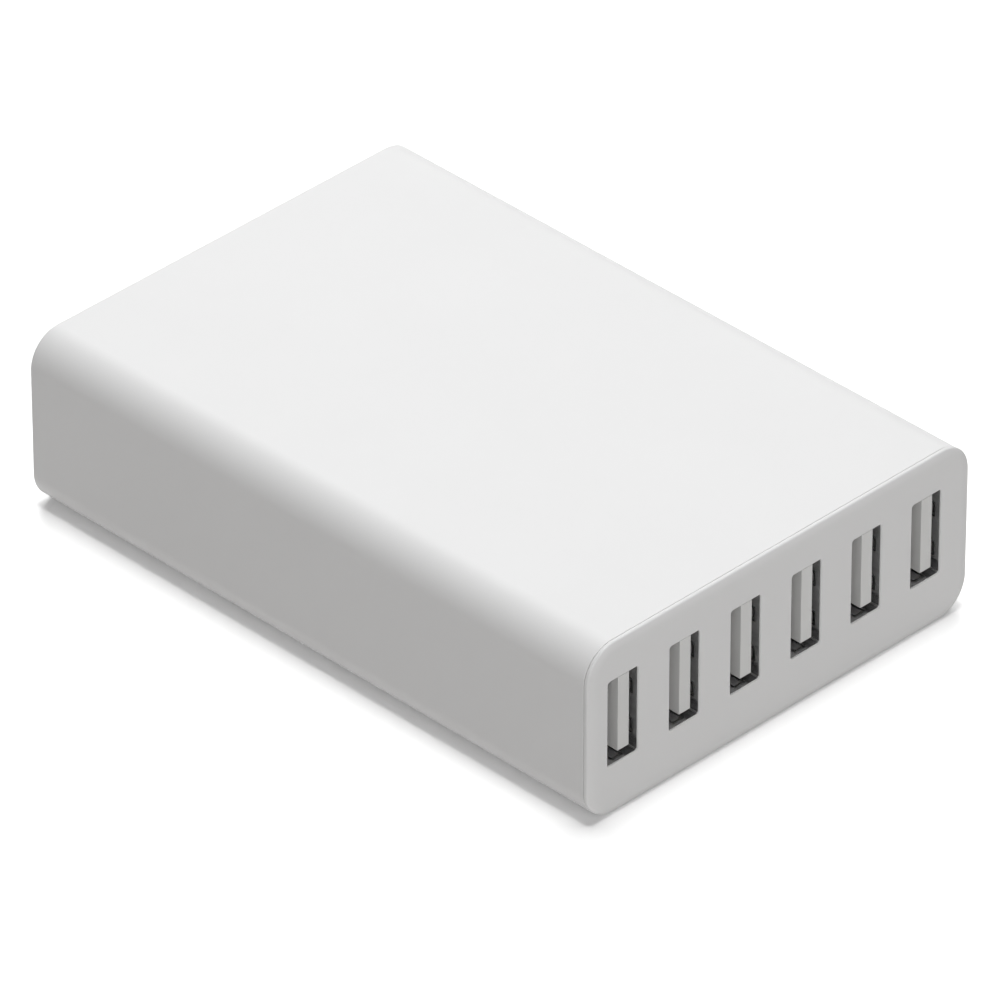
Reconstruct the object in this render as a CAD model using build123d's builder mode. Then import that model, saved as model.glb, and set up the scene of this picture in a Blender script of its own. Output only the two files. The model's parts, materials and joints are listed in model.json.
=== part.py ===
from build123d import *
import os

# Multi port USB desktop charger, in millimetres: a moulded sleeve closed at the rear, a snap-in front
# panel with a row of upright USB-A sockets, and the mains power supply on two circuit boards inside.
# The sockets look towards -Y, +Z is up, and the origin lies on the ground below the body's middle.

# Socket row: the margins run from the body's sides to the axes of the outer sockets,
# and the rise runs from the middle of the body's height to the axes
port_count = 6
port_pitch = 10.75
port_left_margin = 5.72
port_right_margin = 8.13
port_rise = 1.36

# Housing
body_length = 99.0
body_height = 25.4
corner_radius = 4.8
wall = 1.8
rear_wall = 2.2
rear_edge_bevel = 0.4
mouth_edge_bevel = 0.2

# Rubber feet, let into the underside
foot_width = 12.0
foot_length = 6.0
foot_bevel = 0.8
foot_thickness = 1.0
foot_proud = 0.3
foot_clearance = 0.1
foot_inset_x = 11.0
foot_inset_y = 13.0

# Front panel: a rim in front of the shadow gap, a neck in the gap and a spigot in the housing's mouth
panel_inset = 0.3
panel_rim = 1.0
panel_edge_land = 0.05
seam_gap = 0.25
seam_depth = 0.6
spigot_depth = 1.6
spigot_clearance = 0.1
opening_margin = 0.03
port_lip = 0.25
pocket_clearance = 0.1

# Snap arms of the front panel and their pockets in the housing
snap_width = 4.0
snap_length = 3.0
snap_thickness = 1.2
snap_catch = 0.45
snap_ramp = 1.6
snap_play = 0.15

# USB-A socket: folded steel shell with sprung fingers
shell_bore_width = 5.12
shell_bore_height = 12.5
shell_bore_bevel = 0.25
shell_wall = 0.3
shell_length = 13.6
finger_width = 1.7
finger_length = 6.0
finger_spacing = 5.9
finger_slit = 0.3
finger_rim = 0.45
finger_dip = 0.35
finger_tip = 1.6
end_finger_width = 1.3
end_finger_rim = 0.75
leg_width = 1.6
leg_length = 2.8

# USB-A socket: moulded block with the tongue, and the contact strips on it
tongue_thickness = 1.84
tongue_width = 11.1
tongue_back_gap = 0.73
tongue_setback = 0.4
block_length = 4.4
block_clearance = 0.05
contact_spacings = (2.0, 7.0)
contact_width = 1.0
contact_thickness = 0.25
contact_setback = 2.2
contact_bulge = 0.35
contact_bulge_length = 2.4
contact_clearance = 0.05
tail_length = 2.8

# Circuit boards and the rails that hold them
port_board_thickness = 1.6
port_board_side_gap = 1.0
port_board_top_gap = 1.4
port_board_skirt = 1.0
port_board_bevel = 2.0
board_thickness = 1.6
board_lift = 3.4
board_side_gap = 0.3
board_rear_gap = 1.7
rail_depth = 1.6
rail_thickness = 1.2
rail_play = 0.15
tab_width = 6.0
slot_clearance = 0.1
sheet_thickness = 0.4
sheet_margin = 1.0

# Mains inlet in the rear wall: two round pins in a figure-eight recess
inlet_pin_pitch = 8.6
inlet_pin_radius = 1.2
inlet_pin_reach = 9.0
inlet_pin_chamfer = 0.5
inlet_pin_shank = 1.6
inlet_lobe_radius = 4.2
inlet_waist = 6.4
inlet_skin = 1.3
inlet_depth = 12.0
inlet_floor = 4.0
inlet_setback = 0.2
inlet_lift = 0.4
inlet_flange = 1.4
inlet_clearance = 0.12
inlet_shank_clearance = 0.05
inlet_tail_width = 1.4
inlet_tail_thickness = 0.8
inlet_tail_gap = 0.6

# Leads of the parts on the main board
lead_width = 0.7
lead_clearance = 0.1
lead_tail = 1.5

# Mains filter, placed from the board's rear corners
fuse_size = (4.0, 8.5, 8.0)
fuse_lead_pitch = 5.0
fuse_from_left = 6.7
fuse_from_rear = 8.0
x_capacitor_size = (8.0, 17.5, 13.0)
x_capacitor_lead_pitch = 15.0
x_capacitor_from_right = 11.7
x_capacitor_from_rear = 11.0
choke_frame = (16.0, 12.0)
choke_leg = 4.0
choke_core_depth = 4.0
choke_winding_thickness = 1.6
choke_from_left = 13.2
choke_from_rear = 22.0

# Rectified mains and primary switch
bridge_size = (3.5, 14.0, 10.5)
bridge_lead_pitch = 3.8
bridge_from_right = 5.0
bulk_radius = 6.75
bulk_length = 20.0
bulk_lift = 0.1
bulk_lead_pitch = 5.0
bulk_lead_reach = 1.4
bulk_pitch = 14.2
bulk_from_right = 9.0
bulk_from_rear = 32.0
heatsink_thickness = 1.5
heatsink_length = 15.0
heatsink_headroom = 0.6
heatsink_flange = 5.0
heatsink_edge_gap = 3.2
heatsink_lead_pitch = 10.0
package_size = (4.5, 10.0, 9.2)
package_lift = 3.0
package_lead_pitch = 2.54
switch_from_rear = 38.0
controller_size = (4.0, 5.0, 1.6)
controller_from_left = 17.7
controller_gap = 2.0

# Transformer, placed from the board's front left corner
core_width = 21.0
core_length = 20.0
core_depth = 6.6
core_leg = 6.6
core_outer_leg = 3.2
core_back = 3.4
bobbin_wall = 0.8
bobbin_clearance = 0.1
bobbin_flange = 0.9
bobbin_height = 14.0
bobbin_lead_pitch = 3.6
winding_gap = 0.3
winding_bevel = 0.9
transformer_from_left = 20.7
transformer_from_front = 16.0

# Output side, placed from the board's front edge
rectifier_from_front = 19.5
output_capacitor_count = 3
output_capacitor_size = (4.3, 7.3, 3.1)
output_capacitor_pitch = 6.4
output_capacitor_from_right = 6.0
output_capacitor_from_front = 6.0
output_choke_size = (10.0, 10.0, 5.0)
output_choke_bevel = 1.0
output_choke_from_right = 20.7
output_choke_from_front = 20.0
y_capacitor_size = (8.0, 4.0, 8.5)
y_capacitor_bevel = 0.7
y_capacitor_from_left = 27.2
coupler_size = (6.5, 4.6, 3.6)
coupler_from_left = 17.7
coupler_from_front = 30.4

# Places worked out from the sizes above
body_width = port_left_margin + (port_count - 1) * port_pitch + port_right_margin
half_width = body_width / 2
front_y = -body_length / 2
rear_y = body_length / 2
base_z = foot_proud
mid_z = base_z + body_height / 2
floor_z = base_z + wall
ceiling_z = base_z + body_height - wall
port_z = mid_z + port_rise
port_xs = [port_left_margin - half_width + i * port_pitch for i in range(port_count)]
gap_xs = [x + port_pitch / 2 for x in port_xs[:-1]]
snap_xs = (gap_xs[0], gap_xs[-1])

mouth_y = front_y + panel_rim + seam_gap
spigot_y = mouth_y + spigot_depth
snap_end_y = spigot_y + snap_length
rear_inside_y = rear_y - rear_wall
shell_front_y = front_y + port_lip
shell_back_y = shell_front_y + shell_length
shell_width = shell_bore_width + 2 * shell_wall
shell_height = shell_bore_height + 2 * shell_wall
port_board_back_y = shell_back_y + port_board_thickness

# a corner bevel stays parallel to its neighbour's when it grows by this share of the step between them
bevel_share = 2 - 2**0.5
shell_bevel = shell_bore_bevel + bevel_share * shell_wall
block_bevel = shell_bore_bevel - bevel_share * block_clearance
cavity_bevel = corner_radius - wall
spigot_bevel = cavity_bevel - bevel_share * spigot_clearance

board_z = floor_z + board_lift
board_top = board_z + board_thickness
board_half = half_width - wall - board_side_gap
board_front_y = port_board_back_y
board_rear_y = rear_inside_y - board_rear_gap
inlet_width = inlet_pin_pitch + 2 * (inlet_lobe_radius + inlet_skin)
inlet_height = 2 * (inlet_lobe_radius + inlet_skin)
inlet_z = board_top + inlet_lift + inlet_height / 2
lead_length = board_thickness + lead_tail
lead_hole = lead_width + 2 * lead_clearance
heatsink_height = package_lift + package_size[2] + heatsink_headroom + heatsink_thickness


def across(y):
    """Cutting plane at y, seen from the sockets' side: X to the right and Z up."""
    return Plane.XZ.offset(-y)


os.makedirs("parts", exist_ok=True)

# Housing: sleeve with rounded long edges, hollow from the front, with rails for the main board
with BuildPart() as housing:
    with BuildSketch(across(mouth_y)):
        with Locations((0, mid_z)):
            RectangleRounded(body_width, body_height, corner_radius)
    extrude(amount=mouth_y - rear_y)
    chamfer(housing.faces().sort_by(Axis.Y)[-1].edges(), rear_edge_bevel)
    chamfer(housing.faces().sort_by(Axis.Y)[0].edges(), mouth_edge_bevel)
    with BuildSketch(across(mouth_y)) as cavity:
        with Locations((0, mid_z)):
            Rectangle(body_width - 2 * wall, body_height - 2 * wall)
        chamfer(cavity.vertices(), cavity_bevel)
    extrude(amount=mouth_y - rear_inside_y, mode=Mode.SUBTRACT)
    # two rails on each side, below and above the board's edge
    rail_x = half_width - wall - rail_depth / 2
    lower_rail_z = board_z - rail_thickness / 2
    upper_rail_z = board_top + rail_play + rail_thickness / 2
    with BuildSketch(across(board_front_y)):
        with Locations(*[(s * rail_x, z) for s in (-1, 1) for z in (lower_rail_z, upper_rail_z)]):
            Rectangle(rail_depth, rail_thickness)
    extrude(amount=board_front_y - rear_inside_y)
    # pockets that the panel's arms snap into, in the ceiling and the floor
    pocket_length = snap_ramp + 2 * snap_play
    pocket_y = snap_end_y - snap_ramp / 2
    pocket_height = body_height - 2 * wall + 2 * (snap_catch - spigot_clearance + snap_play)
    with Locations(*[(x, pocket_y, mid_z) for x in snap_xs]):
        Box(snap_width + 2 * snap_play, pocket_length, pocket_height, mode=Mode.SUBTRACT)
    # way through the rear wall for the mains inlet
    with BuildSketch(across(rear_y)):
        with Locations((0, inlet_z)):
            SlotOverall(inlet_width + 2 * inlet_clearance, inlet_height + 2 * inlet_clearance)
    extrude(amount=rear_wall, mode=Mode.SUBTRACT)
    # seats of the feet
    foot_grid = (body_width - 2 * foot_inset_x, body_length - 2 * foot_inset_y)
    with BuildSketch(Plane.XY.offset(base_z)) as foot_seats:
        with GridLocations(*foot_grid, 2, 2):
            Rectangle(foot_width + 2 * foot_clearance, foot_length + 2 * foot_clearance)
        chamfer(foot_seats.vertices(), foot_bevel)
    extrude(amount=foot_thickness - foot_proud, mode=Mode.SUBTRACT)
housing.part.label = "housing"
export_step(housing.part, "parts/housing.step")

# Feet: thin rubber pads, proud of the underside
foot_xs = (-foot_grid[0] / 2, foot_grid[0] / 2)
foot_ys = (-foot_grid[1] / 2, foot_grid[1] / 2)
for number, (x, y) in enumerate([(x, y) for y in foot_ys for x in foot_xs], start=1):
    with BuildPart() as foot:
        with BuildSketch(Plane.XY) as pad:
            with Locations((x, y)):
                Rectangle(foot_width, foot_length)
            chamfer(pad.vertices(), foot_bevel)
        extrude(amount=foot_thickness)
    foot.part.label = f"foot_{number}"
    export_step(foot.part, f"parts/foot_{number}.step")

# Front panel: rounded rim, neck that forms the shadow gap, spigot, snap arms and socket openings
with BuildPart() as front_panel:
    with BuildSketch(across(front_y)):
        with Locations((0, mid_z)):
            RectangleRounded(
                body_width - 2 * panel_inset, body_height - 2 * panel_inset, corner_radius - panel_inset
            )
    extrude(amount=-panel_rim)
    fillet(front_panel.faces().sort_by(Axis.Y)[0].edges(), panel_rim - panel_edge_land)
    neck_inset = panel_inset + seam_depth
    with BuildSketch(across(front_y + panel_rim)):
        with Locations((0, mid_z)):
            RectangleRounded(body_width - 2 * neck_inset, body_height - 2 * neck_inset, corner_radius - neck_inset)
    extrude(amount=-seam_gap)
    spigot_inset = wall + spigot_clearance
    with BuildSketch(across(mouth_y)) as spigot:
        with Locations((0, mid_z)):
            Rectangle(body_width - 2 * spigot_inset, body_height - 2 * spigot_inset)
        chamfer(spigot.vertices(), spigot_bevel)
    extrude(amount=-spigot_depth)
    # arms with hooked ends along the ceiling, mirrored to the floor
    arm_top = ceiling_z - spigot_clearance
    for x in snap_xs:
        with BuildSketch(Plane.YZ.offset(x - snap_width / 2)) as arm:
            with BuildLine():
                Polyline(
                    (spigot_y, arm_top - snap_thickness),
                    (snap_end_y, arm_top - snap_thickness),
                    (snap_end_y, arm_top),
                    (snap_end_y - snap_ramp, arm_top + snap_catch),
                    (snap_end_y - snap_ramp, arm_top),
                    (spigot_y, arm_top),
                    close=True,
                )
            make_face()
            mirror(about=Plane.XZ.offset(-mid_z))
        extrude(amount=snap_width)
    # socket openings, with pockets behind that take the shells' front ends
    port_places = [(x, port_z) for x in port_xs]
    with BuildSketch(across(front_y)):
        with Locations(*port_places):
            Rectangle(shell_bore_width + 2 * opening_margin, shell_bore_height + 2 * opening_margin)
    extrude(amount=front_y - spigot_y, mode=Mode.SUBTRACT)
    with BuildSketch(across(shell_front_y)):
        with Locations(*port_places):
            Rectangle(shell_width + 2 * pocket_clearance, shell_height + 2 * pocket_clearance)
    extrude(amount=shell_front_y - spigot_y, mode=Mode.SUBTRACT)
front_panel.part.label = "front_panel"
export_step(front_panel.part, "parts/front_panel.step")

# Socket shell: folded steel tube with two sprung fingers in each wide wall and one in each end wall
finger_end_y = shell_front_y + finger_rim + finger_slit + finger_length
finger_tip_y = finger_end_y - finger_length
end_finger_tip_y = shell_front_y + end_finger_rim + finger_slit
with BuildPart() as shell_form:
    with BuildSketch(across(shell_front_y)) as tube:
        with Locations((0, port_z)):
            Rectangle(shell_width, shell_height)
        chamfer(tube.vertices(), shell_bevel)
    extrude(amount=-shell_length)
    with BuildSketch(across(shell_front_y)) as bore:
        with Locations((0, port_z)):
            Rectangle(shell_bore_width, shell_bore_height)
        chamfer(bore.vertices(), shell_bore_bevel)
    extrude(amount=-shell_length, mode=Mode.SUBTRACT)
    window_length = finger_slit + finger_length
    window_y = finger_end_y - window_length / 2
    window_width = finger_width + 2 * finger_slit
    with Locations(*[(0, window_y, port_z + s * finger_spacing / 2) for s in (-1, 1)]):
        Box(shell_width, window_length, window_width, mode=Mode.SUBTRACT)
    end_window_length = finger_end_y - end_finger_tip_y + finger_slit
    with Locations((0, finger_end_y - end_window_length / 2, port_z)):
        Box(end_finger_width + 2 * finger_slit, end_window_length, shell_height, mode=Mode.SUBTRACT)
    # fingers: bent strips rooted at the windows' rear edge, dipping inwards and out again at the tip
    finger_bends = ((0, finger_end_y), (finger_dip, finger_tip_y + finger_tip), (0, finger_tip_y))
    for side in (-1, 1):
        wide_inner = [(side * (shell_bore_width / 2 - dip), y) for dip, y in finger_bends]
        wide_outer = [(x + side * shell_wall, y) for x, y in reversed(wide_inner)]
        for level in (-1, 1):
            finger_z = port_z + level * finger_spacing / 2
            with BuildSketch(Plane.XY.offset(finger_z - finger_width / 2)):
                with BuildLine():
                    Polyline(*wide_inner, *wide_outer, close=True)
                make_face()
            extrude(amount=finger_width)
        end_z = port_z + side * (shell_bore_height + shell_wall) / 2
        with Locations((0, (finger_end_y + end_finger_tip_y) / 2, end_z)):
            Box(end_finger_width, finger_end_y - end_finger_tip_y, shell_wall)
        # solder legs at the rear edge of the end walls
        with Locations((0, shell_back_y + leg_length / 2, end_z)):
            Box(leg_width, leg_length, shell_wall)

# Socket block: fills the shell's rear and carries the tongue, with a channel for each contact
tongue_tip_y = shell_front_y + tongue_setback
block_front_y = shell_back_y - block_length
tongue_x = shell_bore_width / 2 - tongue_back_gap - tongue_thickness / 2
contact_zs = [port_z + s * spacing / 2 for spacing in contact_spacings for s in (-1, 1)]
contact_front_y = tongue_tip_y + contact_setback
contact_face_x = tongue_x - tongue_thickness / 2
channel_depth = contact_thickness + contact_clearance
with BuildPart() as insulator_form:
    with BuildSketch(across(block_front_y)) as block:
        with Locations((0, port_z)):
            Rectangle(shell_bore_width - 2 * block_clearance, shell_bore_height - 2 * block_clearance)
        chamfer(block.vertices(), block_bevel)
    extrude(amount=-block_length)
    with BuildSketch(across(tongue_tip_y)):
        with Locations((tongue_x, port_z)):
            Rectangle(tongue_thickness, tongue_width)
    extrude(amount=tongue_tip_y - block_front_y)
    channel_y = (contact_front_y + shell_back_y) / 2
    with Locations(*[(contact_face_x + channel_depth / 2, channel_y, z) for z in contact_zs]):
        Box(
            channel_depth,
            shell_back_y - contact_front_y,
            contact_width + 2 * contact_clearance,
            mode=Mode.SUBTRACT,
        )

# Contact strips: bulged at the front to meet the plug, straight through the block into the board
strip_x = contact_face_x + channel_depth
strip_bends = (
    (0, contact_front_y + contact_clearance),
    (contact_bulge, contact_front_y + contact_bulge_length / 2),
    (0, contact_front_y + contact_bulge_length),
    (0, shell_back_y + tail_length),
)
with BuildPart() as contacts_form:
    seat_line = [(strip_x - bulge, y) for bulge, y in strip_bends]
    face_line = [(x - contact_thickness, y) for x, y in reversed(seat_line)]
    for z in contact_zs:
        with BuildSketch(Plane.XY.offset(z - contact_width / 2)):
            with BuildLine():
                Polyline(*seat_line, *face_line, close=True)
            make_face()
        extrude(amount=contact_width)

for number, x in enumerate(port_xs, start=1):
    with BuildPart() as usb_shell:
        with Locations((x, 0, 0)):
            add(shell_form.part)
    usb_shell.part.label = f"usb_shell_{number}"
    export_step(usb_shell.part, f"parts/usb_shell_{number}.step")
    with BuildPart() as usb_insulator:
        with Locations((x, 0, 0)):
            add(insulator_form.part)
    usb_insulator.part.label = f"usb_insulator_{number}"
    export_step(usb_insulator.part, f"parts/usb_insulator_{number}.step")
    with BuildPart() as usb_contacts:
        with Locations((x, 0, 0)):
            add(contacts_form.part)
    usb_contacts.part.label = f"usb_contacts_{number}"
    export_step(usb_contacts.part, f"parts/usb_contacts_{number}.step")

# Port board: stands behind the sockets, with holes for their legs and tails and slots for the main board
port_board_bottom = board_z - port_board_skirt
port_board_height = ceiling_z - port_board_top_gap - port_board_bottom
tab_xs = gap_xs[::2]
with BuildPart() as port_board:
    with BuildSketch(across(shell_back_y)) as port_sheet:
        with Locations((0, port_board_bottom + port_board_height / 2)):
            Rectangle(body_width - 2 * (wall + port_board_side_gap), port_board_height)
        chamfer(port_sheet.vertices(), port_board_bevel)
        leg_z = (shell_bore_height + shell_wall) / 2
        with Locations(*[(x, port_z + s * leg_z) for x in port_xs for s in (-1, 1)]):
            Rectangle(leg_width + 2 * slot_clearance, shell_wall + 2 * slot_clearance, mode=Mode.SUBTRACT)
        with Locations(*[(x + strip_x - contact_thickness / 2, z) for x in port_xs for z in contact_zs]):
            Rectangle(
                contact_thickness + 2 * slot_clearance, contact_width + 2 * slot_clearance, mode=Mode.SUBTRACT
            )
        with Locations(*[(x, board_z + board_thickness / 2) for x in tab_xs]):
            Rectangle(tab_width + 2 * slot_clearance, board_thickness + 2 * slot_clearance, mode=Mode.SUBTRACT)
    extrude(amount=-port_board_thickness)
port_board.part.label = "port_board"
export_step(port_board.part, "parts/port_board.step")

# Mains inlet: block that stands on the board, with a stadium collar through the rear wall round a
# figure-eight recess
inlet_face_y = rear_y - inlet_setback
recess_floor_y = inlet_face_y - inlet_depth
inlet_end_y = recess_floor_y - inlet_floor
inlet_block_height = inlet_lift + inlet_height + inlet_flange
pin_xs = (-inlet_pin_pitch / 2, inlet_pin_pitch / 2)
with BuildPart() as inlet_body:
    with BuildSketch(across(rear_inside_y)):
        with Locations((0, board_top + inlet_block_height / 2)):
            Rectangle(inlet_width + 2 * inlet_flange, inlet_block_height)
    extrude(amount=rear_inside_y - inlet_end_y)
    with BuildSketch(across(inlet_face_y)):
        with Locations((0, inlet_z)):
            SlotOverall(inlet_width, inlet_height)
    extrude(amount=inlet_face_y - rear_inside_y)
    with BuildSketch(across(inlet_face_y)):
        with Locations(*[(x, inlet_z) for x in pin_xs]):
            Circle(inlet_lobe_radius)
        with Locations((0, inlet_z)):
            Rectangle(inlet_pin_pitch, inlet_waist)
    extrude(amount=inlet_depth, mode=Mode.SUBTRACT)
    with BuildSketch(across(recess_floor_y)):
        shank_hole = inlet_pin_shank + 2 * inlet_shank_clearance
        with Locations(*[(x, inlet_z) for x in pin_xs]):
            Rectangle(shank_hole, shank_hole)
    extrude(amount=inlet_floor, mode=Mode.SUBTRACT)
inlet_body.part.label = "inlet_body"
export_step(inlet_body.part, "parts/inlet_body.step")

# Inlet pins: round contact pins on square shanks, with a flat tail that turns down into the board
tail_y = inlet_end_y - inlet_tail_gap - inlet_tail_thickness / 2
for number, x in enumerate(pin_xs, start=1):
    with BuildPart() as inlet_pin:
        with BuildSketch(across(recess_floor_y + inlet_pin_reach)):
            with Locations((x, inlet_z)):
                Circle(inlet_pin_radius)
        extrude(amount=inlet_pin_reach)
        chamfer(inlet_pin.faces().sort_by(Axis.Y)[-1].edges(), inlet_pin_chamfer)
        with BuildSketch(across(recess_floor_y)):
            with Locations((x, inlet_z)):
                Rectangle(inlet_pin_shank, inlet_pin_shank)
        extrude(amount=recess_floor_y - tail_y)
        with BuildSketch(Plane.XY.offset(inlet_z)):
            with Locations((x, tail_y)):
                Rectangle(inlet_tail_width, inlet_tail_thickness)
        extrude(amount=board_z - lead_tail - inlet_z)
    inlet_pin.part.label = f"inlet_pin_{number}"
    export_step(inlet_pin.part, f"parts/inlet_pin_{number}.step")

# Insulation sheet on the housing's floor, below the solder side of the main board
with BuildPart() as insulation_sheet:
    sheet_front_y = board_front_y + sheet_margin
    sheet_rear_y = rear_inside_y - sheet_margin
    with BuildSketch(Plane.XY.offset(floor_z)):
        with Locations((0, (sheet_front_y + sheet_rear_y) / 2)):
            Rectangle(body_width - 2 * corner_radius - 2 * sheet_margin, sheet_rear_y - sheet_front_y)
    extrude(amount=sheet_thickness)
insulation_sheet.part.label = "insulation_sheet"
export_step(insulation_sheet.part, "parts/insulation_sheet.step")

# Fuse: small moulded block on two leads
fuse_x = -board_half + fuse_from_left
fuse_y = board_rear_y - fuse_from_rear
fuse_leads = [(fuse_x, fuse_y + s * fuse_lead_pitch / 2) for s in (-1, 1)]
with BuildPart() as fuse:
    with BuildSketch(Plane.XY.offset(board_top)):
        with Locations((fuse_x, fuse_y)):
            Rectangle(fuse_size[0], fuse_size[1])
    extrude(amount=fuse_size[2])
    chamfer(fuse.faces().sort_by(Axis.Z)[-1].edges(), lead_width)
    with BuildSketch(Plane.XY.offset(board_top)):
        with Locations(*fuse_leads):
            Rectangle(lead_width, lead_width)
    extrude(amount=-lead_length)
fuse.part.label = "fuse"
export_step(fuse.part, "parts/fuse.step")

# Mains filter capacitor: moulded box
x_capacitor_x = board_half - x_capacitor_from_right
x_capacitor_y = board_rear_y - x_capacitor_from_rear
x_capacitor_leads = [(x_capacitor_x, x_capacitor_y + s * x_capacitor_lead_pitch / 2) for s in (-1, 1)]
with BuildPart() as x_capacitor:
    with BuildSketch(Plane.XY.offset(board_top)):
        with Locations((x_capacitor_x, x_capacitor_y)):
            Rectangle(x_capacitor_size[0], x_capacitor_size[1])
    extrude(amount=x_capacitor_size[2])
    chamfer(x_capacitor.faces().sort_by(Axis.Z)[-1].edges(), lead_width)
    with BuildSketch(Plane.XY.offset(board_top)):
        with Locations(*x_capacitor_leads):
            Rectangle(lead_width, lead_width)
    extrude(amount=-lead_length)
x_capacitor.part.label = "x_capacitor"
export_step(x_capacitor.part, "parts/x_capacitor.step")

# Common-mode choke: upright ferrite frame with a winding round each of its two legs
choke_x = -board_half + choke_from_left
choke_y = board_rear_y - choke_from_rear
choke_z = board_top + choke_frame[1] / 2
leg_xs = [choke_x + s * (choke_frame[0] - choke_leg) / 2 for s in (-1, 1)]
choke_window = (choke_frame[0] - 2 * choke_leg, choke_frame[1] - 2 * choke_leg)
with BuildPart() as choke_core:
    with BuildSketch(across(choke_y)):
        with Locations((choke_x, choke_z)):
            Rectangle(*choke_frame)
            Rectangle(*choke_window, mode=Mode.SUBTRACT)
    extrude(amount=choke_core_depth / 2, both=True)
choke_core.part.label = "choke_core"
export_step(choke_core.part, "parts/choke_core.step")

choke_leads = []
winding_foot = choke_core_depth / 2 + choke_winding_thickness - lead_width / 2
for number, x in enumerate(leg_xs, start=1):
    winding_leads = [(x, choke_y + s * winding_foot) for s in (-1, 1)]
    choke_leads += winding_leads
    with BuildPart() as choke_winding:
        with BuildSketch(Plane.XY.offset(choke_z)) as turns:
            with Locations((x, choke_y)):
                Rectangle(
                    choke_leg + 2 * choke_winding_thickness, choke_core_depth + 2 * choke_winding_thickness
                )
                chamfer(turns.vertices(), choke_winding_thickness / 2)
                Rectangle(choke_leg, choke_core_depth, mode=Mode.SUBTRACT)
        extrude(amount=choke_window[1] / 2, both=True)
        with BuildSketch(Plane.XY.offset(choke_z)):
            with Locations(*winding_leads):
                Rectangle(lead_width, lead_width)
        extrude(amount=board_z - lead_tail - choke_z)
    choke_winding.part.label = f"choke_winding_{number}"
    export_step(choke_winding.part, f"parts/choke_winding_{number}.step")

# Bridge rectifier: flat package on four leads
bridge_x = board_half - bridge_from_right
bridge_leads = [(bridge_x, x_capacitor_y + (i - 1.5) * bridge_lead_pitch) for i in range(4)]
with BuildPart() as bridge_rectifier:
    with BuildSketch(Plane.XY.offset(board_top)):
        with Locations((bridge_x, x_capacitor_y)):
            Rectangle(bridge_size[0], bridge_size[1])
    extrude(amount=bridge_size[2])
    upper_end = bridge_rectifier.edges().filter_by(Axis.X).group_by(Axis.Z)[-1].sort_by(Axis.Y)[-1]
    chamfer(upper_end, bridge_size[0] / 2)
    with BuildSketch(Plane.XY.offset(board_top)):
        with Locations(*bridge_leads):
            Rectangle(lead_width, lead_width)
    extrude(amount=-lead_length)
bridge_rectifier.part.label = "bridge_rectifier"
export_step(bridge_rectifier.part, "parts/bridge_rectifier.step")

# Storage capacitors: sealed cans that lie on the board, with bent leads at the rear end
bulk_y = board_rear_y - bulk_from_rear
bulk_end_y = bulk_y + bulk_length / 2
bulk_z = board_top + bulk_lift + bulk_radius
bulk_leads = []
for number in (1, 2):
    x = board_half - bulk_from_right - (number - 1) * bulk_pitch
    can_leads = [(x + s * bulk_lead_pitch / 2, bulk_end_y + bulk_lead_reach - lead_width / 2) for s in (-1, 1)]
    bulk_leads += can_leads
    with BuildPart() as bulk_capacitor:
        with BuildSketch(across(bulk_y)):
            with Locations((x, bulk_z)):
                Circle(bulk_radius)
        extrude(amount=bulk_length / 2, both=True)
        with BuildSketch(across(bulk_end_y)):
            with Locations(*[(lead[0], bulk_z) for lead in can_leads]):
                Rectangle(lead_width, lead_width)
        extrude(amount=-bulk_lead_reach)
        with BuildSketch(Plane.XY.offset(bulk_z)):
            with Locations(*can_leads):
                Rectangle(lead_width, lead_width)
        extrude(amount=board_z - lead_tail - bulk_z)
    bulk_capacitor.part.label = f"bulk_capacitor_{number}"
    export_step(bulk_capacitor.part, f"parts/bulk_capacitor_{number}.step")

# Cooling plates along both sides of the board, each with a transistor package against its face
plate_leads = []
package_leads = []
for side, y, plate_name, package_name in (
    (-1, board_rear_y - switch_from_rear, "primary_heatsink", "primary_switch"),
    (1, board_front_y + rectifier_from_front, "secondary_heatsink", "rectifier"),
):
    outer_x = side * (board_half - heatsink_edge_gap)
    face_x = outer_x - side * heatsink_thickness
    feet = [(outer_x - side * heatsink_thickness / 2, y + s * heatsink_lead_pitch / 2) for s in (-1, 1)]
    plate_leads += feet
    with BuildPart() as heatsink:
        with BuildSketch(across(y)):
            with BuildLine():
                Polyline(
                    (outer_x, board_top),
                    (outer_x, board_top + heatsink_height),
                    (outer_x - side * heatsink_flange, board_top + heatsink_height),
                    (outer_x - side * heatsink_flange, board_top + heatsink_height - heatsink_thickness),
                    (face_x, board_top + heatsink_height - heatsink_thickness),
                    (face_x, board_top),
                    close=True,
                )
            make_face()
        extrude(amount=heatsink_length / 2, both=True)
        with BuildSketch(Plane.XY.offset(board_top)):
            with Locations(*feet):
                Rectangle(lead_width, lead_width)
        extrude(amount=-lead_length)
    heatsink.part.label = plate_name
    export_step(heatsink.part, f"parts/{plate_name}.step")

    package_x = face_x - side * package_size[0] / 2
    legs = [(package_x, y + i * package_lead_pitch) for i in (-1, 0, 1)]
    package_leads += legs
    with BuildPart() as package:
        with BuildSketch(Plane.XY.offset(board_top + package_lift)):
            with Locations((package_x, y)):
                Rectangle(package_size[0], package_size[1])
        extrude(amount=package_size[2])
        with BuildSketch(Plane.XY.offset(board_top + package_lift)):
            with Locations(*legs):
                Rectangle(lead_width, lead_width)
        extrude(amount=-package_lift - lead_length)
    package.part.label = package_name
    export_step(package.part, f"parts/{package_name}.step")

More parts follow.
